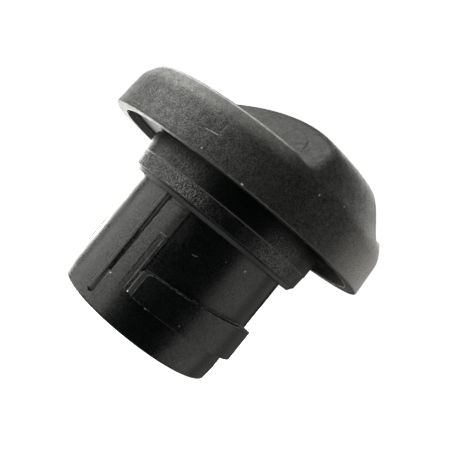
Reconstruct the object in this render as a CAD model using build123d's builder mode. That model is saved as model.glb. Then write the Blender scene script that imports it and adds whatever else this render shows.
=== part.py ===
"""Oil filler cap for an engine: a moulded cover with a grip bar, a hollow plug with
two bayonet lugs, and the rubber seal ring on the plug's neck.

Millimetres. +Z is up along the cap's axis, and Z = 0 is the open end of the plug, on
which the cap stands. The grip bar runs along X, and each lug lies under one end of it.
"""
import os
from math import asin, cos, degrees, radians, sqrt, tan

from build123d import *

# Plug: the tube that goes down into the filler neck
plug_radius = 20.0
plug_wall = 2.6
plug_length = 37.4
lead_in_height = 3.4
lead_in_depth = 0.35
plug_end_round = 0.4
plug_bore_round = 1.5

# Flange disc at the plug's top, which closes the cover from below
flange_thickness = 2.4
flange_clearance = 0.35

# Rubber seal ring, stretched into a groove on the plug's neck
seal_height = 10.2
seal_groove_depth = 0.8
seal_wall = 4.2
seal_foot_taper = 0.4
seal_lip_height = 1.15
seal_lip_step = 0.15
seal_lip_lean = 0.75
seal_top_bevel = 0.8
parting_line_height = 4.6
parting_line_width = 0.14
parting_line_step = 0.14

# Bayonet lugs, with a top edge that climbs as a helix and pulls the cap down
lug_count = 2
lug_reach = 1.7
lug_foot_z = 7.2
lug_low_height = 5.8
lug_rise = 1.85
lug_ramp_arc = 65.0
lug_arc = 88.0
lug_start = -45.6
lug_bevel_arc = 5.4
lug_corner_round = 1.1

# Track above each lug, where the neck's own lug travels
track_depth = 0.3

# Land beside each track, with a shallow groove near its edge
land_arc = 14.7
land_reach = 0.15
land_top_gap = 0.7
land_corner_round = 0.6
land_groove_arc = 3.7
land_groove_inset = 1.8
land_groove_depth = 0.15
land_groove_top_gap = 7.3

# Slot and half-round bead on the land's other side
slot_arc = 2.1
slot_depth = 0.5
slot_foot_z = 8.0
bead_arc = 6.4
bead_overlap_arc = 0.5
bead_reach = 0.45
bead_foot_z = 2.15

# Cover: a round dome with a hanging skirt
cover_overhang = 11.0
cover_rise = 21.3
cover_wall = 2.6
skirt_wall = 3.0
skirt_drop = 1.7
skirt_height = 6.9
skirt_draft = 0.45
crown_radius = 72.0
crown_inset = 11.9
slope_top_inset = 6.8
slope_top_drop = 2.0
slope_foot_inset = 2.3
slope_foot_drop = 8.1
seat_width = 2.0
rim_round = 0.3

# Two finger pockets, which leave the grip bar between them
pocket_wall = 2.1
pocket_draft = 4.0
pocket_corner = 3.0
pocket_floor_round = 2.0
bar_half_width = 7.7
bar_edge_drop = 5.3
bar_slant = 33.0
bar_edge_round = 2.6

# Valley where each pocket's crest runs into the grip bar's flank
valley_drop = 14.1
valley_slant = 12.0
valley_round = 1.2

# Heights and radii that follow from the sizes above
over = 1.0
bore_radius = plug_radius - plug_wall
neck_radius = plug_radius - seal_groove_depth
seal_foot_z = plug_length - seal_height
flange_top_z = plug_length + flange_thickness
rim_z = plug_length - skirt_drop
seal_radius = neck_radius + seal_wall
cover_radius = seal_radius + cover_overhang
skirt_inner_radius = cover_radius - skirt_wall
flange_radius = skirt_inner_radius - flange_clearance
lug_radius = plug_radius + lug_reach
lug_top_z = lug_foot_z + lug_low_height
lug_root_radius = plug_radius - plug_wall / 2
track_radius = plug_radius - track_depth
track_start = lug_start - lug_bevel_arc
track_arc = lug_arc + 2 * lug_bevel_arc
land_start = track_start - land_arc
slot_start = land_start - slot_arc
bead_angle = slot_start + bead_overlap_arc - bead_arc / 2
cover_top_z = plug_length + cover_rise
shoulder_z = rim_z + skirt_height
shoulder_radius = cover_radius - skirt_draft
seat_radius = skirt_inner_radius - seat_width
pocket_floor_z = flange_top_z + cover_wall
pocket_radius = shoulder_radius - pocket_wall


def ring_sector(inner, outer, start, arc):
    """A part of a ring between two radii, from a start angle over an arc in degrees."""
    with BuildSketch(mode=Mode.PRIVATE) as sector:
        with BuildLine():
            inside = CenterArc((0, 0), inner, start, arc)
            outside = CenterArc((0, 0), outer, start, arc)
            Line(inside @ 0, outside @ 0)
            Line(inside @ 1, outside @ 1)
        make_face()
    return sector.sketch


def dome_section(inset):
    """Half section of the cover's dome, drawn a distance inside its outer face."""
    crown_angle = degrees(asin((cover_radius - crown_inset) / crown_radius))
    crown_edge_z = cover_top_z - crown_radius * (1 - cos(radians(crown_angle)))
    foot = rim_z - over
    radius = crown_radius - inset
    with BuildSketch(Plane.XZ, mode=Mode.PRIVATE) as section:
        with BuildLine():
            skirt = Line((cover_radius - inset, foot), (shoulder_radius - inset, shoulder_z))
            crown = CenterArc((0, cover_top_z - crown_radius), radius, 90 - crown_angle, crown_angle)
            slope_foot_radius = cover_radius - slope_foot_inset - inset
            slope_foot = (slope_foot_radius, crown_edge_z - slope_foot_drop)
            slope_top_radius = cover_radius - slope_top_inset - inset
            slope_top = (slope_top_radius, crown_edge_z - slope_top_drop)
            Spline(skirt @ 1, slope_foot, slope_top, crown @ 0, tangents=(skirt % 1, crown % 0))
            Polyline(crown @ 1, (0, foot), skirt @ 0)
        make_face()
    return section.sketch


def flank_offset(z):
    """How far the grip bar's flank stands from the bar's middle plane at a height."""
    return bar_half_width + (cover_top_z - bar_edge_drop - z) * tan(radians(bar_slant))


def finger_pocket(grow):
    """The space of one finger pocket, grown by a distance on every side."""
    floor_z = pocket_floor_z - grow
    top_z = cover_top_z + over
    side = grow / cos(radians(bar_slant))
    with BuildPart(mode=Mode.PRIVATE) as space:
        with BuildSketch(Plane.XY.offset(floor_z)):
            Circle(pocket_radius + grow)
        extrude(amount=top_z - floor_z, taper=-pocket_draft)
        with BuildSketch(Plane.YZ):
            with BuildLine():
                Polyline(
                    (flank_offset(floor_z) - side, floor_z),
                    (flank_offset(top_z) - side, top_z),
                    (2 * cover_radius, top_z),
                    (2 * cover_radius, floor_z),
                    close=True,
                )
            make_face()
        extrude(amount=2 * cover_radius, both=True, mode=Mode.INTERSECT)
        upright = space.edges().filter_by(lambda e: abs(e.tangent_at(0.5).Z) > 0.7)
        fillet(upright, pocket_corner + grow)
        fillet(space.faces().sort_by(Axis.Z)[0].edges(), pocket_floor_round + grow)
    return space.part


# Seal ring: a turned rubber ring with a bevelled top, a stepped parting line and a foot lip
seal_foot_radius = seal_radius - seal_foot_taper
lip_top_z = seal_foot_z + seal_lip_height
lip_radius = seal_foot_radius - seal_lip_step
parting_z = seal_foot_z + parting_line_height
with BuildPart() as seal_ring:
    with BuildSketch(Plane.XZ):
        with BuildLine():
            Polyline(
                (neck_radius, seal_foot_z),
                (lip_radius - seal_lip_lean, seal_foot_z),
                (lip_radius, lip_top_z),
                (seal_foot_radius, lip_top_z),
                (seal_radius - parting_line_step, parting_z - parting_line_width),
                (seal_radius, parting_z),
                (seal_radius, plug_length - seal_top_bevel),
                (seal_radius - seal_top_bevel, plug_length),
                (neck_radius, plug_length),
                close=True,
            )
        make_face()
    revolve(axis=Axis.Z)
seal_ring.part.label = "seal_ring"

# Lug: a ring sector with slanted ends, whose top climbs a helix and then runs level
lug_pitch = lug_rise * 360 / lug_ramp_arc
ramp_margin = 2 * lug_bevel_arc
ramp_arc = lug_ramp_arc + 2 * ramp_margin
ramp_foot_z = lug_top_z - lug_pitch * ramp_margin / 360
with BuildPart() as lug:
    with BuildSketch(Plane.XY.offset(lug_foot_z)):
        with BuildLine():
            foot_start = ramp_margin - lug_bevel_arc
            root = CenterArc((0, 0), lug_root_radius, foot_start, track_arc)
            base = CenterArc((0, 0), plug_radius, foot_start, track_arc, mode=Mode.PRIVATE)
            nose = CenterArc((0, 0), lug_radius, ramp_margin, lug_arc)
            Polyline(root @ 0, base @ 0, nose @ 0)
            Polyline(root @ 1, base @ 1, nose @ 1)
        make_face()
    extrude(amount=lug_low_height + lug_rise)
    with BuildLine(Plane.XY.offset(ramp_foot_z)):
        ramp = Helix(pitch=lug_pitch, height=lug_pitch * ramp_arc / 360, radius=plug_radius)
    with BuildSketch(Plane.XZ):
        with Locations((plug_radius, ramp_foot_z + 2 * lug_rise)):
            Rectangle(3 * plug_wall, 4 * lug_rise)
    sweep(path=ramp, is_frenet=True, mode=Mode.SUBTRACT)
    upright = lug.faces().filter_by(lambda f: abs(f.normal_at().Z) < 0.01)
    ends = upright.filter_by(GeomType.PLANE).sort_by(SortBy.AREA)[-2:]
    fillet([end.edges().sort_by(Axis.Z)[-1] for end in ends], lug_corner_round)

# Bead: a half-round rib whose circle stands proud of the plug by the bead's reach
bead_half_width = plug_radius * radians(bead_arc) / 2
bead_radius = (bead_half_width**2 + bead_reach**2) / (2 * bead_reach)
bead_end = sqrt(bead_radius**2 - (bead_radius - bead_reach) ** 2)
with BuildPart(Plane.XY.offset(bead_foot_z + bead_end)) as bead:
    with PolarLocations(plug_radius + bead_reach - bead_radius, 1, bead_angle):
        Cylinder(
            bead_radius,
            seal_foot_z - bead_foot_z - bead_end,
            align=(Align.CENTER, Align.CENTER, Align.MIN),
        )
        Sphere(bead_radius)

# Land: a raised panel with its upper outer corner rounded
with BuildPart() as land:
    with BuildSketch(Plane.XY.offset(lug_foot_z)):
        add(ring_sector(lug_root_radius, plug_radius + land_reach, land_start, land_arc))
    extrude(amount=seal_foot_z - land_top_gap - lug_foot_z)
    corner = land.edges().filter_by(Plane.XY).group_by(Axis.Z)[-1].filter_by(GeomType.LINE)
    fillet(corner.sort_by(Axis.Y)[0], land_corner_round)

# Plug: a turned tube with the seal's groove and the flange, then its lugs and lands
with BuildPart() as plug:
    with BuildSketch(Plane.XZ):
        with BuildLine():
            Polyline(
                (bore_radius, 0),
                (plug_radius - lead_in_depth, 0),
                (plug_radius, lead_in_height),
                (plug_radius, seal_foot_z),
                (neck_radius, seal_foot_z),
                (neck_radius, plug_length),
                (flange_radius, plug_length),
                (flange_radius, flange_top_z),
                (0, flange_top_z),
                (0, plug_length),
                (bore_radius, plug_length),
                close=True,
            )
        make_face()
    revolve(axis=Axis.Z)
    fillet(plug.edges().group_by(Axis.Z)[0].sort_by(SortBy.RADIUS)[-1], plug_end_round)
    bore_corner = plug.edges().filter_by(GeomType.CIRCLE)
    bore_corner = bore_corner.filter_by(lambda e: abs(e.radius - bore_radius) < 0.01)
    fillet(bore_corner.sort_by(Axis.Z)[-1], plug_bore_round)
    with PolarLocations(0, lug_count):
        add(bead.part)
        add(land.part)
    with BuildSketch(Plane.XY.offset(lug_foot_z)):
        with PolarLocations(0, lug_count):
            add(ring_sector(track_radius, lug_radius, track_start, track_arc))
    extrude(amount=seal_foot_z - lug_foot_z, mode=Mode.SUBTRACT)
    with BuildSketch(Plane.XY.offset(slot_foot_z)):
        with PolarLocations(0, lug_count):
            add(ring_sector(plug_radius - slot_depth, lug_radius, slot_start, slot_arc))
    extrude(amount=seal_foot_z - slot_foot_z, mode=Mode.SUBTRACT)
    groove_start = track_start - land_groove_inset - land_groove_arc
    groove_floor = plug_radius + land_reach - land_groove_depth
    with BuildSketch(Plane.XY.offset(lug_foot_z)):
        with PolarLocations(0, lug_count):
            add(ring_sector(groove_floor, lug_radius, groove_start, land_groove_arc))
    extrude(amount=seal_foot_z - land_groove_top_gap - lug_foot_z, mode=Mode.SUBTRACT)
    with PolarLocations(0, lug_count, lug_start - ramp_margin):
        add(lug.part)
plug.part.label = "plug"

# Hollow: the space inside the grip bar, between the two pockets' own walls
pocket = finger_pocket(0)
pocket_shell = finger_pocket(cover_wall)
with BuildPart() as hollow:
    add(dome_section(cover_wall))
    revolve(axis=Axis.Z)
    with BuildSketch(Plane.XY.offset(flange_top_z)):
        Circle(seat_radius)
    extrude(amount=cover_top_z, mode=Mode.INTERSECT)
    with PolarLocations(0, 2):
        add(pocket_shell, mode=Mode.SUBTRACT)

# Valley: a wedge beside the grip bar, whose near side lies in the flank's plane
with BuildPart() as valley:
    with BuildSketch(Plane.YZ):
        with BuildLine():
            foot_z = cover_top_z - valley_drop
            top_z = cover_top_z + over
            foot = (flank_offset(foot_z), foot_z)
            far = (flank_offset(foot_z) + (top_z - foot_z) * tan(radians(valley_slant)), top_z)
            Polyline((flank_offset(top_z), top_z), foot, far, close=True)
        profile = make_face()
        fillet(profile.vertices().sort_by(Axis.Y)[0], valley_round)
    extrude(amount=cover_radius, both=True)

# Cover: the dome with its valleys and finger pockets, open below for the plug's flange
with BuildPart() as cover:
    add(dome_section(0))
    revolve(axis=Axis.Z)
    with PolarLocations(0, 2):
        add(valley.part, mode=Mode.SUBTRACT)
    cuts = cover.faces().filter_by(lambda f: f.geom_type in (GeomType.PLANE, GeomType.CYLINDER))
    mouth = cuts.edges().filter_by(GeomType.LINE, reverse=True)
    fillet(mouth.filter_by(lambda e: (e @ 0.5).Z > shoulder_z), bar_edge_round)
    with PolarLocations(0, 2):
        add(pocket, mode=Mode.SUBTRACT)
    with BuildSketch(Plane.XY):
        Circle(2 * cover_radius)
    extrude(amount=rim_z, mode=Mode.SUBTRACT)
    with BuildSketch(Plane.XY.offset(rim_z)):
        Circle(skirt_inner_radius)
    extrude(amount=flange_top_z - rim_z, mode=Mode.SUBTRACT)
    add(hollow.part, mode=Mode.SUBTRACT)
    rim = cover.edges().group_by(Axis.Z)[0].sort_by(SortBy.RADIUS)[-1]
    fillet(rim, rim_round)
cover.part.label = "cover"

os.makedirs("parts", exist_ok=True)
export_step(seal_ring.part, "parts/seal_ring.step")
export_step(plug.part, "parts/plug.step")
export_step(cover.part, "parts/cover.step")
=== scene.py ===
"""Looks of the oil filler cap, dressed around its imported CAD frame.

Metres, in the frame's own axes: +Z up along the cap's axis, +X along the grip bar, and
Z = 0 at the plug's open end.
"""
from math import cos, pi, radians, sin, tan

import bpy
from bpy.props import FloatProperty, FloatVectorProperty, PointerProperty
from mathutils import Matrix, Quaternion, Vector

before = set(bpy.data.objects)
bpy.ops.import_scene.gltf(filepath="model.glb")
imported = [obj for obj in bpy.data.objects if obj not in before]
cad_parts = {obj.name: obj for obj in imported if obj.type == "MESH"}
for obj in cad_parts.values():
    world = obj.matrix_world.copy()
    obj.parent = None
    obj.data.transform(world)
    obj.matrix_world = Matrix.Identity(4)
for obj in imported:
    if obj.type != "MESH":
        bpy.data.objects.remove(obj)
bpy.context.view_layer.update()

bl_info = {
    "name": "Oil filler cap looks",
    "version": (1, 0, 0),
    "blender": (4, 5, 0),
    "location": "View3D > Sidebar > Filler Cap",
    "description": "Dresses the oil filler cap's CAD frame and sets the studio up",
    "category": "Object",
}

MM = 0.001


class CoverFinish(bpy.types.PropertyGroup):
    """Sizes and colours of the moulded cover's finish"""

    color: FloatVectorProperty(
        name="Colour",
        description="The cover's plastic",
        subtype="COLOR",
        size=3,
        min=0.0,
        max=1.0,
        default=(0.011, 0.011, 0.0106),
    )
    roughness: FloatProperty(
        name="Roughness", description="How matt the cover is", min=0.0, max=1.0, default=0.5
    )
    grain: FloatProperty(
        name="Grain", description="Width of the moulded grain", unit="LENGTH", default=0.30 * MM
    )
    grain_depth: FloatProperty(
        name="Grain depth", description="Depth of the grain", unit="LENGTH", default=0.12 * MM
    )
    edge: FloatProperty(
        name="Edge", description="Rounding of the crisp edges", unit="LENGTH", default=0.32 * MM
    )


class PlugFinish(bpy.types.PropertyGroup):
    """Sizes and colours of the plug's satin finish"""

    color: FloatVectorProperty(
        name="Colour",
        description="The plug's plastic",
        subtype="COLOR",
        size=3,
        min=0.0,
        max=1.0,
        default=(0.0024, 0.0031, 0.0033),
    )
    roughness: FloatProperty(
        name="Roughness", description="How satin the plug is", min=0.0, max=1.0, default=0.27
    )
    ripple: FloatProperty(
        name="Ripple", description="Width of the moulding's ripple", unit="LENGTH", default=2.4 * MM
    )
    ripple_depth: FloatProperty(
        name="Ripple depth", description="Depth of the ripple", unit="LENGTH", default=0.010 * MM
    )
    edge: FloatProperty(
        name="Edge", description="Rounding of the crisp edges", unit="LENGTH", default=0.20 * MM
    )


class SealFinish(bpy.types.PropertyGroup):
    """Sizes and colours of the rubber seal ring"""

    color: FloatVectorProperty(
        name="Colour",
        description="The seal's rubber",
        subtype="COLOR",
        size=3,
        min=0.0,
        max=1.0,
        default=(0.0022, 0.0031, 0.0034),
    )
    roughness: FloatProperty(
        name="Roughness", description="How matt the rubber is", min=0.0, max=1.0, default=0.32
    )
    speckle: FloatProperty(
        name="Speckle", description="Width of the rubber's speckle", unit="LENGTH", default=0.30 * MM
    )
    speckle_depth: FloatProperty(
        name="Speckle depth", description="Depth of the speckle", unit="LENGTH", default=0.036 * MM
    )
    edge: FloatProperty(
        name="Edge", description="Rounding of the crisp edges", unit="LENGTH", default=0.16 * MM
    )


class Studio(bpy.types.PropertyGroup):
    """Camera, lights and floor"""

    camera_place: FloatVectorProperty(
        name="Camera place",
        description="Where the camera stands",
        subtype="XYZ",
        unit="LENGTH",
        size=3,
        default=(106.26 * MM, -74.93 * MM, 25.30 * MM),
    )
    camera_aim: FloatVectorProperty(
        name="Camera aim",
        description="The point that the camera looks at",
        subtype="XYZ",
        unit="LENGTH",
        size=3,
        default=(1.07 * MM, 1.49 * MM, 30.02 * MM),
    )
    camera_roll: FloatProperty(
        name="Camera roll",
        description="How far the camera leans to its left",
        subtype="ANGLE",
        default=radians(39.09),
    )
    lens: FloatProperty(
        name="Lens", description="Focal length in millimetres", min=1.0, default=45.01
    )
    white: FloatProperty(
        name="Backdrop white", description="Brightness of floor and backdrop", default=1.05
    )
    light: FloatProperty(
        name="Light", description="Brightness of all the panels", min=0.0, default=1.0
    )
    fill: FloatProperty(
        name="Fill", description="Diffuse light from the camera's side", min=0.0, default=0.6
    )
    reach: FloatProperty(
        name="Reach", description="How far the panels stand from the cap", unit="LENGTH", default=0.5
    )


# Rounding of crisp edges, and how far it turns the normal of a point on a worn edge that is also
# lightened as a painted highlight
BEVEL_SAMPLES = 6
EDGE_TURN = (0.995, 0.93)

# How much wider the worn edges of the cover and the ring, lightened also as a painted highlight, are
# than their rounding
WORN_AND_HIGHLIT_EDGE = 1.5

# The share of a stroke's half width that has its full strength
STROKE_CORE = 0.3

# The range of a fine noise over which a surface's roughness changes
ROUGH_SPREAD = (0.3, 0.7)


class Graph:
    """A short way to write a material's nodes."""

    def __init__(self, name):
        self.material = bpy.data.materials.new(name)
        self.material.use_nodes = True
        self.tree = self.material.node_tree
        self.shader = self.tree.nodes["Principled BSDF"]
        self.place = self.tree.nodes.new("ShaderNodeTexCoord").outputs["Object"]

    def feed(self, socket, value):
        """Links an output to a socket, or sets the socket to a plain value."""
        if isinstance(value, bpy.types.NodeSocket):
            self.tree.links.new(value, socket)
        else:
            socket.default_value = value

    def finish(self, name, value):
        """Feeds one input of the material's shader."""
        self.feed(self.shader.inputs[name], value)

    def node(self, kind, **sockets):
        """Adds a node, with its input sockets given by name."""
        made = self.tree.nodes.new(kind)
        for key, value in sockets.items():
            self.feed(made.inputs[key.replace("_", " ")], value)
        return made

    def noise(self, width, detail=2.0, rough=0.5):
        """A noise whose lumps are about as wide as the given length."""
        made = self.node("ShaderNodeTexNoise", Vector=self.place, Scale=1.0 / width)
        self.feed(made.inputs["Detail"], detail)
        self.feed(made.inputs["Roughness"], rough)
        return made.outputs["Fac"]

    def ramp(self, value, start, end, at_start=0.0, at_end=1.0):
        """Turns a range of values into another range, clamped at its ends."""
        made = self.node("ShaderNodeMapRange", Value=value, From_Min=start, From_Max=end)
        self.feed(made.inputs["To Min"], at_start)
        self.feed(made.inputs["To Max"], at_end)
        return made.outputs["Result"]

    def blend(self, share, first, second):
        """Mixes a share of the second colour into the first."""
        made = self.tree.nodes.new("ShaderNodeMix")
        made.data_type = "RGBA"
        self.feed(made.inputs[0], share)
        self.feed(made.inputs[6], first)
        self.feed(made.inputs[7], second)
        return made.outputs[2]

    def bump(self, height, distance, normal):
        """Raises the surface by a height field, whose full range is the distance."""
        made = self.node("ShaderNodeBump", Height=height, Distance=distance, Strength=1.0)
        self.feed(made.inputs["Normal"], normal)
        return made.outputs["Normal"]

    def math(self, operation, first, second=0.0, third=0.0):
        """One step of arithmetic, clamped to the range from 0 to 1."""
        made = self.tree.nodes.new("ShaderNodeMath")
        made.operation = operation
        made.use_clamp = True
        self.feed(made.inputs[0], first)
        self.feed(made.inputs[1], second)
        self.feed(made.inputs[2], third)
        return made.outputs[0]

    def times(self, product, *factors):
        """The product of all the values."""
        for factor in factors:
            product = self.math("MULTIPLY", product, factor)
        return product

    def most(self, largest, *others):
        """The largest of all the values."""
        for other in others:
            largest = self.math("MAXIMUM", largest, other)
        return largest

    def vector_math(self, operation, first, second=None, scale=None):
        """One step of vector arithmetic."""
        made = self.tree.nodes.new("ShaderNodeVectorMath")
        made.operation = operation
        self.feed(made.inputs[0], first)
        if second is not None:
            self.feed(made.inputs[1], second)
        if scale is not None:
            self.feed(made.inputs["Scale"], scale)
        return made.outputs["Vector" if operation in ("SUBTRACT", "SCALE", "MULTIPLY") else "Value"]

    def coordinate(self, axis):
        """One coordinate of each point, in metres."""
        return self.node("ShaderNodeSeparateXYZ", Vector=self.place).outputs[axis]

    def outward(self):
        """How far each point lies from the cap's axis, and that times how much it faces outward."""
        spoke = self.vector_math("MULTIPLY", self.place, Vector((1.0, 1.0, 0.0)))
        normal = self.tree.nodes.new("ShaderNodeNewGeometry").outputs["Normal"]
        return self.vector_math("LENGTH", spoke), self.vector_math("DOT_PRODUCT", normal, spoke)

    def rounded(self, radius):
        """A normal that is rounded over crisp edges."""
        made = self.node("ShaderNodeBevel", Radius=radius)
        made.samples = BEVEL_SAMPLES
        return made.outputs["Normal"]

    def edges(self, radius):
        """How much each point lies on a crisp edge."""
        flat = self.tree.nodes.new("ShaderNodeNewGeometry").outputs["Normal"]
        same = self.vector_math("DOT_PRODUCT", self.rounded(radius), flat)
        return self.ramp(same, *EDGE_TURN)

    def marks(self, strokes):
        """How much each point lies on one of the short straight strokes."""
        total = 0.0
        for start, end, half_width, strength in strokes:
            start, end = Vector(start) * MM, Vector(end) * MM
            run = end - start
            away = self.vector_math("SUBTRACT", self.place, start)
            along = self.vector_math("DOT_PRODUCT", away, run / run.length_squared)
            foot = self.vector_math("SCALE", run, scale=self.math("ADD", along))
            distance = self.vector_math("DISTANCE", away, foot)
            core = STROKE_CORE * half_width
            mark = self.ramp(distance, half_width * MM, core * MM, 0.0, strength)
            total = self.most(mark, total)
        return total


def rgba(color, factor=1.0):
    """A colour with full alpha, brightened by a factor."""
    return (color[0] * factor, color[1] * factor, color[2] * factor, 1.0)


def paint(node, material):
    """Puts the material on a CAD node."""
    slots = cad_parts[node].data.materials
    slots.clear()
    slots.append(material)


# Strokes seen in the photograph, in millimetres: start, end and half width, and then strength
COVER_SCUFFS = (
    ((18.28, -28.73, 39.4), (21.75, -26.2, 40.46), 0.12, 0.22),
    ((19.24, -28.06, 39.89), (21.27, -26.64, 40.2), 0.14, 0.45),
    ((21.38, -26.5, 40.78), (21.43, -26.33, 42.43), 0.12, 0.15),
    ((27.54, -20.45, 35.95), (27.62, -20.35, 35.95), 0.26, 1.0),
    ((5.86, -33.49, 41.0), (5.87, -33.48, 41.1), 0.17, 0.4),
    ((12.09, -31.34, 44.2), (12.1, -31.33, 44.3), 0.17, 0.4),
    ((20.84, -27.21, 36.6), (20.86, -27.19, 36.7), 0.20, 0.5),
    ((3.52, -34.08, 36.8), (3.55, -34.07, 36.9), 0.17, 0.35),
    ((32.47, -9.55, 43.25), (32.5, -9.5, 43.5), 0.16, 0.8),
    ((33.03, -3.63, 45.1), (33.04, -3.61, 45.2), 0.16, 0.7),
)
# Creases, darkened with painted shade
COVER_CREASES = (
    ((18.76, -8.42, 52.3), (20.2, -9.55, 50.9), 0.32, 0.85),
    ((20.2, -9.55, 50.9), (20.95, -9.75, 49.95), 0.32, 0.95),
    ((20.95, -9.75, 49.95), (21.79, -10.59, 48.95), 0.24, 0.8),
)
PLUG_SCUFFS = (
    ((19.67, -0.8, 24.6), (19.68, -0.78, 24.7), 0.22, 0.9),
    ((16.22, -11.17, 20.78), (16.5, -10.75, 20.82), 0.09, 0.3),
    ((16.5, -10.75, 20.82), (16.79, -10.29, 21.07), 0.09, 0.3),
    ((16.15, -11.78, 6.89), (16.25, -11.66, 6.9), 0.20, 0.8),
    ((20.82, -6.1, 8.42), (20.83, -6.05, 8.5), 0.14, 0.4),
    ((19.83, 0.59, 2.0), (19.83, 0.62, 2.1), 0.14, 0.3),
    ((18.9, -5.56, 23.7), (18.91, -5.53, 23.8), 0.14, 0.3),
    ((8.3, -18.36, 7.7), (8.4, -18.31, 7.75), 0.22, 0.8),
    ((13.25, -15.53, 7.3), (13.35, -15.45, 7.35), 0.26, 1.0),
    ((11.0, -16.88, 20.27), (12.3, -15.96, 20.27), 0.12, 0.22),
)
# A crease on the plug, darkened with painted shade
PLUG_CREASES = (((12.49, -15.23, 15.81), (14.17, -13.68, 16.01), 0.20, 0.7),)

# Weak painted light bands that lighten the shade in the slot and on the bead's shaded side, in the
# same way
SLOT_PAINTED_LIGHT = (
    ((7.52, -18.44, 26.9), (7.47, -18.31, 18.0), 0.50, 0.36),
    ((7.44, -18.25, 18.0), (7.54, -17.98, 8.1), 0.32, 0.34),
    ((7.71, -18.51, 7.6), (7.48, -18.77, 2.75), 0.50, 0.09),
)

# Colours on the cover: worn edges, painted glints and highlights, scuffs, and the painted shade in
# its creases and the plug's
PAINTED_CREASE_SHADE = (0.001, 0.001, 0.001, 1.0)
COVER_WORN_AND_HIGHLIT = (0.12, 0.118, 0.115, 1.0)
COVER_PAINTED_GLINT = (0.38, 0.38, 0.36, 1.0)
COVER_SCUFFED = (0.5, 0.5, 0.49, 1.0)
COVER_PAINTED_EDGE_HIGHLIGHT = (0.92, 0.88, 0.84, 1.0)
WALL_PAINTED_HIGHLIGHT_DIM = (0.35, 0.35, 0.34, 1.0)
WALL_PAINTED_HIGHLIGHT_BRIGHT = (0.95, 0.95, 0.92, 1.0)

# Sizes of the cover, in millimetres: the finger pockets' drafted wall and the skirt's rim
POCKET_RADIUS = 31.85
POCKET_FLOOR = 42.4
POCKET_DRAFT = 4.0
RIM_HEIGHT = 35.7

# Level direction across the cap, from its dark left to its pale right in the photograph, towards
# which a painted highlight grows
RIGHTWARD = Vector((0.588, 0.809, 0.0))

# Noises on the cover: width, detail and roughness. The grain's width is a setting
GRAIN_NOISE = (3.0, 0.65)
CLOUD_NOISE = (7.0 * MM, 3.0)
MOTTLE_NOISE = (1.3 * MM, 2.0, 0.6)
WEAR_AND_HIGHLIGHT_NOISE = (1.1 * MM,)
GLINT_NOISE = (0.9 * MM,)
WALL_HIGHLIGHT_NOISE = (2.0 * MM,)

# Ramps, here and below: start, end and, unless they are 0 and 1, the values at both ends
CREST_FACING = (0.0, 4.0 * MM)
CREST_OUTER = (0.42 * MM, 0.22 * MM)
CREST_INNER = (0.20 * MM, 0.08 * MM)
CREST_PAINTED_GLOW = (2.2 * MM, 0.1 * MM, 0.0, 0.24)
CREST_BESIDE_BAR = (14.5 * MM, 18.5 * MM)
CREST_ABOVE_FLOOR = ((POCKET_FLOOR + 1.0) * MM, (POCKET_FLOOR + 2.0) * MM)
RIM_PAINTED_GLINT = ((RIM_HEIGHT + 0.19) * MM, (RIM_HEIGHT + 0.11) * MM, 0.0, 0.3)
GLINT_BROKEN = (0.3, 0.55, 0.65, 1.0)
GRAIN_TONE = (0.38, 0.66)
CLOUD_TONE = (0.35, 0.65, 0.0, 0.35)
COVER_WEAR_AND_HIGHLIGHT = (0.35, 0.6, 0.35, 0.9)
WALL_FACING_IN = (0.0, -20.0 * MM)
WALL_RADIUS = (31.1 * MM, 31.3 * MM)
WALL_LEFT = (0.0, -10.0 * MM, 0.03, 1.0)
HIGHLIGHT_RIGHT = (18.0 * MM, 33.0 * MM)
HIGHLIGHT_LOW = (51.0 * MM, 44.0 * MM, 0.0, 0.8)
HIGHLIGHT_OUTSIDE = (2.0 * MM, 8.0 * MM)
HIGHLIGHT_IN_GRAIN = (0.38, 0.62, 0.65, 1.2)
SHEEN_AT_SIDES = (8.0 * MM, 22.0 * MM, 0.7, 1.0)
SHEEN_IN_GRAIN = (0.40, 0.60, 0.36, 1.0)
SHEEN_MOTTLED = (0.35, 0.60, 0.66, 1.0)
SHEEN_OUTSIDE = (-10.0 * MM, -2.0 * MM, 0.04, 1.0)
ROUGH_MOTTLED = (0.35, 0.65, 0.07, 0.0)

# Factors on the cover's colour: in the grain's hollows, on its tops and in the pale clouds
GRAIN_DARK = 0.4
GRAIN_LIGHT = 2.0
CLOUD_LIGHT = 1.7

# How sharply the painted highlight grows towards the right, and how far the grain changes the
# roughness
HIGHLIGHT_POWER = 1.5
GRAIN_SMOOTHER = 0.08
GRAIN_ROUGHER = 0.06


def painted_crest_and_rim_glint(graph, height, radius, outward):
    """How much each point takes a painted highlight: a line along a pocket's crest with a soft
    painted band below it, and a line along the rim, where moulded edges catch light.
    """
    slope = tan(radians(POCKET_DRAFT))
    foot = (POCKET_RADIUS - POCKET_FLOOR * slope) * MM
    wall = graph.math("MULTIPLY_ADD", height, slope, foot)
    beyond = graph.math("SUBTRACT", radius, wall)
    inside = graph.ramp(graph.math("SUBTRACT", wall, radius), *CREST_INNER)
    beside = graph.ramp(graph.math("ABSOLUTE", graph.coordinate("Y")), *CREST_BESIDE_BAR)
    above = graph.ramp(height, *CREST_ABOVE_FLOOR)
    zone = graph.times(inside, beside, above)
    # Painted highlight lines on the crest and the rim, and a soft painted band below the crest
    crest = graph.times(graph.ramp(beyond, *CREST_OUTER), zone)
    painted_glow = graph.times(graph.ramp(beyond, *CREST_PAINTED_GLOW), zone)
    rim = graph.ramp(height, *RIM_PAINTED_GLINT)
    return graph.times(graph.ramp(outward, *CREST_FACING), graph.most(painted_glow, crest, rim))


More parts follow.
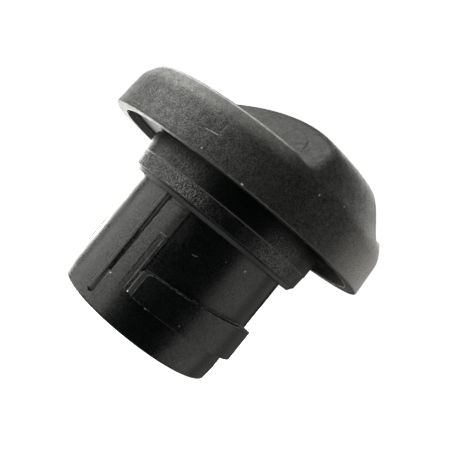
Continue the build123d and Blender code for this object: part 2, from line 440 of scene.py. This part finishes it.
def with_painted_highlights(graph, tone, grain, height, radius, outward, rightward):
    """The cover's colour with a painted highlight on the skirt's inner wall and another that grows
    towards the right edge.
    """
    # A painted highlight on the skirt's inner wall, strongest at the left
    wall = graph.times(
        graph.ramp(outward, *WALL_FACING_IN),
        graph.ramp(radius, *WALL_RADIUS),
        graph.ramp(rightward, *WALL_LEFT),
    )
    wall_highlight = graph.blend(graph.noise(*WALL_HIGHLIGHT_NOISE), WALL_PAINTED_HIGHLIGHT_DIM, WALL_PAINTED_HIGHLIGHT_BRIGHT)
    tone = graph.blend(wall, tone, wall_highlight)
    # A pale warm painted highlight that grows towards the cover's right edge
    edge = graph.times(
        graph.math("POWER", graph.ramp(rightward, *HIGHLIGHT_RIGHT), HIGHLIGHT_POWER),
        graph.ramp(height, *HIGHLIGHT_LOW),
        graph.ramp(outward, *HIGHLIGHT_OUTSIDE),
        graph.ramp(grain, *HIGHLIGHT_IN_GRAIN),
    )
    return graph.blend(edge, tone, COVER_PAINTED_EDGE_HIGHLIGHT)


def cover_material(finish):
    """Matt black plastic with a fine moulded grain, lighter on worn edges, with painted highlights
    and with painted shade in its creases.
    """
    graph = Graph("grained cover plastic")
    grain = graph.noise(finish.grain, *GRAIN_NOISE)
    cloud = graph.noise(*CLOUD_NOISE)
    mottle = graph.noise(*MOTTLE_NOISE)
    crease = graph.marks(COVER_CREASES)
    height = graph.coordinate("Z")
    radius, outward = graph.outward()
    rightward = graph.vector_math("DOT_PRODUCT", graph.place, RIGHTWARD)
    graph.finish("Normal", graph.bump(grain, finish.grain_depth, graph.rounded(finish.edge)))

    # Plastic, worn edges lightened also as a painted highlight, painted highlights on the crests and
    # the rim, scuffs, painted shade in the creases, and over all of them painted highlights on the
    # inner wall and towards the right edge
    hollow = rgba(finish.color, GRAIN_DARK)
    raised = rgba(finish.color, GRAIN_LIGHT)
    tone = graph.blend(graph.ramp(grain, *GRAIN_TONE), hollow, raised)
    tone = graph.blend(graph.ramp(cloud, *CLOUD_TONE), tone, rgba(finish.color, CLOUD_LIGHT))
    wear_and_highlight = graph.ramp(graph.noise(*WEAR_AND_HIGHLIGHT_NOISE), *COVER_WEAR_AND_HIGHLIGHT)
    # Worn edges, lightened as wear and as a painted highlight of the light they catch
    tone = graph.blend(graph.times(graph.edges(WORN_AND_HIGHLIT_EDGE * finish.edge), wear_and_highlight), tone, COVER_WORN_AND_HIGHLIT)
    broken = graph.ramp(graph.noise(*GLINT_NOISE), *GLINT_BROKEN)
    painted_glint = graph.times(painted_crest_and_rim_glint(graph, height, radius, outward), broken)
    # Painted highlights along the pockets' crests and the rim
    tone = graph.blend(painted_glint, tone, COVER_PAINTED_GLINT)
    tone = graph.blend(graph.marks(COVER_SCUFFS), tone, COVER_SCUFFED)
    # Painted shade in the creases
    tone = graph.blend(crease, tone, PAINTED_CREASE_SHADE)
    # Painted highlights on the skirt's inner wall and towards the right edge
    tone = with_painted_highlights(graph, tone, grain, height, radius, outward, rightward)
    graph.finish("Base Color", tone)

    # Sheen, weaker in the middle, in the grain's hollows, in creases and on inner walls
    sheen = graph.times(
        graph.ramp(graph.math("ABSOLUTE", rightward), *SHEEN_AT_SIDES),
        graph.ramp(grain, *SHEEN_IN_GRAIN),
        graph.ramp(mottle, *SHEEN_MOTTLED),
        graph.math("SUBTRACT", 1.0, crease),
        graph.ramp(outward, *SHEEN_OUTSIDE),
    )
    graph.finish("Specular IOR Level", sheen)
    smooth, rough = finish.roughness - GRAIN_SMOOTHER, finish.roughness + GRAIN_ROUGHER
    rough = graph.ramp(grain, *ROUGH_SPREAD, smooth, rough)
    graph.finish("Roughness", graph.math("ADD", rough, graph.ramp(mottle, *ROUGH_MOTTLED)))
    return graph.material


# Colours on the plug: worn edges lightened also as a painted highlight, the lugs' ends dulled as
# painted shade, and scuffs, also used for painted light in the slot
PLUG_WORN_AND_HIGHLIT = (0.2, 0.2, 0.195, 1.0)
PLUG_LUG_END_SHADE = (0.016, 0.016, 0.0155, 1.0)
PLUG_SCUFFED_AND_PAINTED_LIGHT = (0.55, 0.55, 0.54, 1.0)

# Noises on the plug: width, detail and roughness. The ripple's width is a setting
RIPPLE_DETAIL = 1.0
FINE_NOISE = (0.40 * MM, 3.0, 0.6)
PATCH_NOISE = (5.0 * MM, 1.0)
PLUG_WEAR_AND_HIGHLIGHT_NOISE = (0.9 * MM,)

# Ramps on the plug. A lug's end faces partly sideways and lies outside the tube, and is dulled as
# painted shade
PATCH_SPREAD = (0.4, 0.65)
LUG_END_TURN = (0.9, 0.8)
LUG_END_RADIUS = (20.35 * MM, 20.6 * MM)
LUG_END_WEAR_AND_HIGHLIGHT = (0.0, 1.0, 1.0, 0.2)
PLUG_WEAR_AND_HIGHLIGHT = (0.42, 0.62, 0.15, 1.0)
PLUG_SHEEN = (0.40, 0.60, 0.36, 0.64)
DULL_SHEEN = (0.0, 1.0, 1.0, 0.01)

# Depth of the fine unevenness, and what it and the patches change in the roughness
FINE_DEPTH = 0.014 * MM
FINE_SMOOTHER = 0.05
FINE_ROUGHER = 0.06
PATCH_ROUGHER = 0.07


def plug_material(finish):
    """Satin black plastic, slightly rippled by its mould, with worn edges lightened also as a painted
    highlight, painted shade on the lugs' ends and painted light in the slot.
    """
    graph = Graph("satin plug plastic")
    ripple = graph.noise(finish.ripple, RIPPLE_DETAIL)
    fine = graph.noise(*FINE_NOISE)
    patch = graph.ramp(graph.noise(*PATCH_NOISE), *PATCH_SPREAD)
    crease = graph.marks(PLUG_CREASES)
    waved = graph.bump(ripple, finish.ripple_depth, graph.rounded(finish.edge))
    graph.finish("Normal", graph.bump(fine, FINE_DEPTH, waved))

    # Plastic, worn edges lightened also as a painted highlight, the lugs' ends dulled as painted
    # shade, scuffs with painted light in the slot, and painted shade in a crease
    radius, outward = graph.outward()
    turned = graph.ramp(graph.math("DIVIDE", outward, radius), *LUG_END_TURN)
    shaded_lug_end = graph.times(turned, graph.ramp(radius, *LUG_END_RADIUS))
    worn_and_highlit = graph.times(
        graph.edges(finish.edge),
        graph.ramp(graph.noise(*PLUG_WEAR_AND_HIGHLIGHT_NOISE), *PLUG_WEAR_AND_HIGHLIGHT),
        graph.ramp(shaded_lug_end, *LUG_END_WEAR_AND_HIGHLIGHT),
    )
    # Worn edges, lightened as wear and as a painted highlight
    tone = graph.blend(worn_and_highlit, rgba(finish.color), PLUG_WORN_AND_HIGHLIT)
    # The lugs' ends take a dull colour as painted shade
    tone = graph.blend(shaded_lug_end, tone, PLUG_LUG_END_SHADE)
    # Scuffs, and painted light in the slot and on the bead's shaded side
    tone = graph.blend(graph.marks(PLUG_SCUFFS + SLOT_PAINTED_LIGHT), tone, PLUG_SCUFFED_AND_PAINTED_LIGHT)
    # Painted shade in the crease
    tone = graph.blend(crease, tone, PAINTED_CREASE_SHADE)
    graph.finish("Base Color", tone)

    # The lugs' ends and the crease lose their sheen, as painted shade
    dull = graph.ramp(graph.most(crease, shaded_lug_end), *DULL_SHEEN)
    graph.finish("Specular IOR Level", graph.times(graph.ramp(fine, *PLUG_SHEEN), dull))
    smooth, rough = finish.roughness - FINE_SMOOTHER, finish.roughness + FINE_ROUGHER
    rough = graph.ramp(fine, *ROUGH_SPREAD, smooth, rough)
    graph.finish("Roughness", graph.math("ADD", rough, graph.times(patch, PATCH_ROUGHER)))
    return graph.material


# Colours on the seal ring: pale speckle tops, worn edges lightened also as a painted highlight, and
# painted highlights on the parting line and the lip
SEAL_SPECK = (0.17, 0.17, 0.167, 1.0)
SEAL_WORN_AND_HIGHLIT = (0.14, 0.14, 0.14, 1.0)
SEAL_PARTING_HIGHLIGHT = (0.13, 0.13, 0.13, 1.0)
SEAL_LIP_GLINT = (0.06, 0.06, 0.06, 1.0)

# The middle of the zone of the seal ring where the speckle shows most, in millimetres
SEAL_RUBBED = (12.5, -19.5, 30.0)

# Noises on the ring: width, detail and roughness. The speckle's width is a setting
SPECKLE_NOISE = (2.0, 0.6)
SEAL_PATCH_NOISE = (4.0 * MM, 1.0)

# Ramps on the ring, by noise, distance or height
SPECKLE_SPREAD = (0.38, 0.64)
SEAL_PATCH = (0.38, 0.58, 0.35, 0.7)
RUBBED_FADE = (9.0 * MM, 4.0 * MM)
BELOW_PARTING = (32.2 * MM, 31.4 * MM, 0.3, 1.0)
ABOVE_LIP = (28.3 * MM, 28.6 * MM)
PARTING_TOP = (31.86 * MM, 31.80 * MM)
PARTING_FOOT = (31.58 * MM, 31.64 * MM)
LIP_FACING = (0.0, 4.0 * MM)
LIP_TOP = (28.1 * MM, 27.9 * MM)
SPECKLE_SHEEN = (0.0, 1.0, 0.2, 0.85)
LOWER_SHEEN = (0.3, 1.0, 0.7, 1.0)

# How strongly the worn edges, lightened also as a painted highlight, and the parting line's painted
# highlight show, and how sharply the speckle's tops do
SEAL_EDGE_SHARE = 0.6
PARTING_HIGHLIGHT_SHARE = 0.6
SPECK_POWER = 3.0

# What the speckle changes in the roughness, in its hollows and on its tops
HOLLOW_ROUGHER = 0.1
TOP_SMOOTHER = 0.06


def seal_material(finish):
    """Black rubber with a coarse speckle, strongest below the parting line, and painted highlights on
    its edges, parting line and lip.
    """
    graph = Graph("speckled seal rubber")
    speckle = graph.ramp(graph.noise(finish.speckle, *SPECKLE_NOISE), *SPECKLE_SPREAD)
    height = graph.coordinate("Z")
    lower = graph.ramp(height, *BELOW_PARTING)
    patch = graph.ramp(graph.noise(*SEAL_PATCH_NOISE), *SEAL_PATCH)
    rubbed = graph.vector_math("DISTANCE", graph.place, Vector(SEAL_RUBBED) * MM)
    patch = graph.most(patch, graph.ramp(rubbed, *RUBBED_FADE))
    relief = graph.times(speckle, lower, patch, graph.ramp(height, *ABOVE_LIP))
    graph.finish("Normal", graph.bump(relief, finish.speckle_depth, graph.rounded(finish.edge)))

    # Rubber, pale tops of the speckle, worn edges lightened also as a painted highlight, and painted
    # highlights on the parting line and the lip
    tone = graph.blend(graph.math("POWER", relief, SPECK_POWER), rgba(finish.color), SEAL_SPECK)
    edge = graph.times(graph.edges(WORN_AND_HIGHLIT_EDGE * finish.edge), SEAL_EDGE_SHARE)
    # Worn edges, lightened as wear and as a painted highlight
    tone = graph.blend(edge, tone, SEAL_WORN_AND_HIGHLIT)
    # A painted highlight along the parting line
    parting_highlight = graph.times(graph.ramp(height, *PARTING_TOP), graph.ramp(height, *PARTING_FOOT))
    tone = graph.blend(graph.times(parting_highlight, PARTING_HIGHLIGHT_SHARE), tone, SEAL_PARTING_HIGHLIGHT)
    outward = graph.outward()[1]
    # A painted glint on the outward face of the lip
    lip_glint = graph.times(graph.ramp(outward, *LIP_FACING), graph.ramp(height, *LIP_TOP))
    tone = graph.blend(lip_glint, tone, SEAL_LIP_GLINT)
    graph.finish("Base Color", tone)

    sheen = graph.times(graph.ramp(speckle, *SPECKLE_SHEEN), graph.ramp(lower, *LOWER_SHEEN))
    graph.finish("Specular IOR Level", sheen)
    rough, smooth = finish.roughness + HOLLOW_ROUGHER, finish.roughness - TOP_SMOOTHER
    graph.finish("Roughness", graph.ramp(speckle, 0.0, 1.0, rough, smooth))
    return graph.material


class FILLERCAP_OT_cover(bpy.types.Operator):
    """Finish the cover in matt grained plastic"""

    bl_idname = "filler_cap.cover"
    bl_label = "Finish the cover"

    def execute(self, context):
        paint("cover", cover_material(context.scene.cap_cover))
        return {"FINISHED"}


class FILLERCAP_OT_plug(bpy.types.Operator):
    """Finish the plug in satin plastic"""

    bl_idname = "filler_cap.plug"
    bl_label = "Finish the plug"

    def execute(self, context):
        paint("plug", plug_material(context.scene.cap_plug))
        return {"FINISHED"}


class FILLERCAP_OT_seal_ring(bpy.types.Operator):
    """Finish the seal ring in speckled rubber"""

    bl_idname = "filler_cap.seal_ring"
    bl_label = "Finish the seal ring"

    def execute(self, context):
        paint("seal_ring", seal_material(context.scene.cap_seal))
        return {"FINISHED"}


# Panels: name, azimuth right of the camera, elevation, width and height in degrees, and radiance
PANELS = (
    ("left_low", -80.0, -9.0, 76.0, 60.0, 2.0),
    ("left_middle", -60.0, 36.0, 30.0, 26.0, 6.0),
    ("left_back_middle", -95.0, 36.0, 36.0, 26.0, 10.5),
    ("left_high", -80.0, 63.0, 60.0, 24.0, 0.7),
    ("back_left_low", -160.0, -10.0, 44.0, 60.0, 6.0),
    ("back_right_low", 126.0, -9.0, 44.0, 60.0, 0.22),
    ("back_right_middle", 157.0, 36.0, 40.0, 26.0, 5.6),
    ("right_low", 79.0, -9.0, 50.0, 60.0, 0.85),
    ("right_middle", 100.0, 36.0, 60.0, 26.0, 0.75),
    ("top", 0.0, 88.0, 30.0, 30.0, 0.7),
)

# One more panel from the camera's side, hidden from reflections: name and angles as above
FILL_PANEL = ("front_fill", 0.0, -5.0, 80.0, 60.0)

# The camera's azimuth in the frame in degrees, what the panels face, and their tint
CAMERA_AZIMUTH = -36.0
CAP_MIDDLE = Vector((0.0, 0.0, 30.0 * MM))
PANEL_TINT = (1.0, 1.0, 0.965)

# Sizes of the floor and the walls in metres, and how far the walls stand from the cap
FLOOR_SIZE = 4.0
WALL_SIZE = 8.0
WALL_DISTANCE = 2.4

# Greys of the sheets and of the world around them
SHEET_GREY = (0.9, 0.9, 0.9, 1.0)
SHEET_ROUGHNESS = 0.9
WORLD_GREY = (0.004, 0.004, 0.004, 1.0)


def panel(name, azimuth, elevation, width, height, radiance, reach):
    """A soft studio panel that faces the cap and covers the given angles."""
    turn, rise = radians(azimuth + CAMERA_AZIMUTH), radians(elevation)
    away = Vector((cos(turn) * cos(rise), sin(turn) * cos(rise), sin(rise)))
    bpy.ops.object.light_add(type="AREA", location=away * reach + CAP_MIDDLE)
    light = bpy.context.object
    light.name = name
    light.rotation_euler = away.to_track_quat("Z", "Y").to_euler()
    light.data.shape = "RECTANGLE"
    light.data.size = 2 * reach * tan(radians(width / 2))
    light.data.size_y = 2 * reach * tan(radians(height / 2))
    light.data.color = PANEL_TINT
    light.data.energy = radiance * pi * light.data.size * light.data.size_y
    return light


def glow_sheet(name, size, location, rotation, strength):
    """A large plain pale sheet that only the camera sees."""
    bpy.ops.mesh.primitive_plane_add(size=size, location=location, rotation=rotation)
    sheet = bpy.context.object
    sheet.name = name
    bpy.ops.object.transform_apply(location=True, rotation=True, scale=True)
    material = bpy.data.materials.new(name + " white")
    material.use_nodes = True
    shader = material.node_tree.nodes["Principled BSDF"]
    shader.inputs["Base Color"].default_value = SHEET_GREY
    shader.inputs["Roughness"].default_value = SHEET_ROUGHNESS
    shader.inputs["Emission Color"].default_value = (1.0, 1.0, 1.0, 1.0)
    shader.inputs["Emission Strength"].default_value = strength
    sheet.data.materials.append(material)
    sheet.visible_glossy = False
    sheet.visible_diffuse = False
    sheet.visible_shadow = False


class FILLERCAP_OT_stage(bpy.types.Operator):
    """Set up the floor, the walls, the lights and the camera"""

    bl_idname = "filler_cap.stage"
    bl_label = "Set the studio up"

    def execute(self, context):
        studio = context.scene.cap_studio
        place = Vector(studio.camera_place)
        view = (Vector(studio.camera_aim) - place).normalized()
        roll = Quaternion((0.0, 0.0, 1.0), studio.camera_roll)
        turn = view.to_track_quat("-Z", "Y") @ roll
        bpy.ops.object.camera_add(location=place, rotation=turn.to_euler())
        camera = context.object
        camera.name = "photo_camera"
        camera.data.lens = studio.lens
        camera.data.clip_start = 1.0 * MM
        context.scene.camera = camera

        # The floor, the backdrop square to the photo's view, and three upright walls
        level = Vector((view.x, view.y, 0.0)).normalized()
        glow_sheet("floor", FLOOR_SIZE, (0.0, 0.0, 0.0), (0.0, 0.0, 0.0), studio.white)
        behind = place + WALL_DISTANCE * view
        glow_sheet("backdrop", WALL_SIZE, behind, turn.to_euler(), studio.white)
        for count in (1, 2, 3):
            side = Quaternion((0.0, 0.0, 1.0), radians(90.0 * count)) @ level
            facing = side.to_track_quat("Z", "Y").to_euler()
            glow_sheet(f"wall_{count}", WALL_SIZE, WALL_DISTANCE * side, facing, studio.white)

        for name, azimuth, elevation, width, height, radiance in PANELS:
            panel(name, azimuth, elevation, width, height, radiance * studio.light, studio.reach)
        fill = panel(*FILL_PANEL, studio.fill * studio.light, studio.reach)
        fill.visible_glossy = False
        world = bpy.data.worlds.new("studio")
        world.use_nodes = True
        world.node_tree.nodes["Background"].inputs["Color"].default_value = WORLD_GREY
        context.scene.world = world
        context.scene.view_settings.view_transform = "Standard"
        return {"FINISHED"}


class FILLERCAP_PT_panel(bpy.types.Panel):
    """Lists the cap's pieces and the studio"""

    bl_idname = "FILLERCAP_PT_panel"
    bl_label = "Filler Cap"
    bl_space_type = "VIEW_3D"
    bl_region_type = "UI"
    bl_category = "Filler Cap"

    def draw(self, context):
        for group, operator in GROUPS:
            box = self.layout.box()
            settings = getattr(context.scene, group)
            for key in settings.bl_rna.properties.keys():
                if key not in ("rna_type", "name"):
                    box.prop(settings, key)
            box.operator(operator)


GROUPS = (
    ("cap_cover", "filler_cap.cover"),
    ("cap_plug", "filler_cap.plug"),
    ("cap_seal", "filler_cap.seal_ring"),
    ("cap_studio", "filler_cap.stage"),
)
SETTINGS = (CoverFinish, PlugFinish, SealFinish, Studio)
CLASSES = SETTINGS + (
    FILLERCAP_OT_cover,
    FILLERCAP_OT_plug,
    FILLERCAP_OT_seal_ring,
    FILLERCAP_OT_stage,
    FILLERCAP_PT_panel,
)


def register():
    for cls in CLASSES:
        bpy.utils.register_class(cls)
    for (group, operator), settings in zip(GROUPS, SETTINGS):
        setattr(bpy.types.Scene, group, PointerProperty(type=settings))


def unregister():
    for group, operator in GROUPS:
        delattr(bpy.types.Scene, group)
    for cls in reversed(CLASSES):
        bpy.utils.unregister_class(cls)


def main():
    register()
    bpy.ops.filler_cap.cover()
    bpy.ops.filler_cap.plug()
    bpy.ops.filler_cap.seal_ring()
    bpy.ops.filler_cap.stage()


if __name__ == "__main__":
    main()
